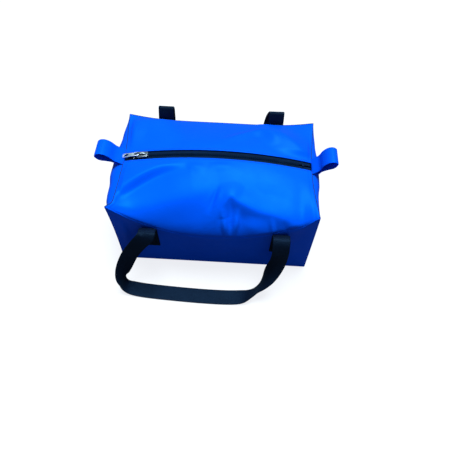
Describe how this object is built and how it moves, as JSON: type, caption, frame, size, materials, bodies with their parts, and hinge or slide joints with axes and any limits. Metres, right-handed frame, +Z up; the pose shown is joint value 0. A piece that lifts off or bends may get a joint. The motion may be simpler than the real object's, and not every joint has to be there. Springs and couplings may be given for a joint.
{
  "type": "fruit picking bag",
  "caption": "Box-shaped zipped picking bag in glossy coated tarpaulin, with webbing grab handles front and rear and a folded pull loop at each end.",
  "frame": {"origin": "on the underside of the base panel, below the middle of the bag", "axes": "+Z up, +X along the zipper towards the end away from the closed slider, the front panel facing -Y"},
  "size_m": [0.3623, 0.335, 0.1704],
  "materials": {
    "blue_tarpaulin": "glossy coated",
    "black_webbing": "woven matt",
    "zipper_tape": "woven matt",
    "zipper_coil": "satin nylon",
    "thread": "matt",
    "steel": "satin"
  },
  "bodies": {
    "bag": {"front_panel": "blue_tarpaulin", "rear_panel": "blue_tarpaulin", "base_panel": "blue_tarpaulin", "front_top_panel": "blue_tarpaulin", "rear_top_panel": "blue_tarpaulin", "left_end_panel": "blue_tarpaulin", "right_end_panel": "blue_tarpaulin", "zipper_tape_front": "zipper_tape", "zipper_tape_rear": "zipper_tape", "zipper_coil_front": "zipper_coil", "zipper_coil_rear": "zipper_coil", "zipper_top_stop_front": "steel", "zipper_top_stop_rear": "steel", "zipper_bottom_stop": "zipper_coil", "front_handle_tail_left": "black_webbing", "front_handle_tail_right": "black_webbing", "rear_handle_tail_left": "black_webbing", "rear_handle_tail_right": "black_webbing", "front_box_stitch_left": "thread", "front_box_stitch_right": "thread", "rear_box_stitch_left": "thread", "rear_box_stitch_right": "thread"},
    "slider": {"zipper_slider": "steel"},
    "pull": {"zipper_pull": "steel"},
    "front_handle": {"front_handle_loop": "black_webbing"},
    "rear_handle": {"rear_handle_loop": "black_webbing"},
    "left_loop": {"left_end_loop": "blue_tarpaulin"},
    "right_loop": {"right_end_loop": "blue_tarpaulin"}
  },
  "joints": [
    {"name": "zip_travel", "type": "hinge", "parent": "bag", "child": "slider", "pos_m": [0, 0, -0.4525], "axis": [0, 1, 0], "range_deg": [0, 21.7], "deforming": ["zipper_coil_front", "zipper_coil_rear"]},
    {"name": "pull_swing", "type": "hinge", "parent": "slider", "child": "pull", "pos_m": [-0.12052, 0, 0.15131], "axis": [0, 1, 0], "range_deg": [0, 145]},
    {"name": "front_handle_swing", "type": "hinge", "parent": "bag", "child": "front_handle", "pos_m": [0, -0.1138, 0.1152], "axis": [-1, 0, 0], "range_deg": [0, 160]},
    {"name": "rear_handle_swing", "type": "hinge", "parent": "bag", "child": "rear_handle", "pos_m": [0, 0.108, 0.1482], "axis": [1, 0, 0], "range_deg": [0, 160]},
    {"name": "left_loop_flex", "type": "hinge", "parent": "bag", "child": "left_loop", "pos_m": [-0.149, 0, 0.1408], "axis": [0, -1, 0], "range_deg": [0, 36], "stiffness_Nm_per_rad": 0.05},
    {"name": "right_loop_flex", "type": "hinge", "parent": "bag", "child": "right_loop", "pos_m": [0.1494, 0, 0.141], "axis": [0, 1, 0], "range_deg": [0, 52], "stiffness_Nm_per_rad": 0.05}
  ]
}
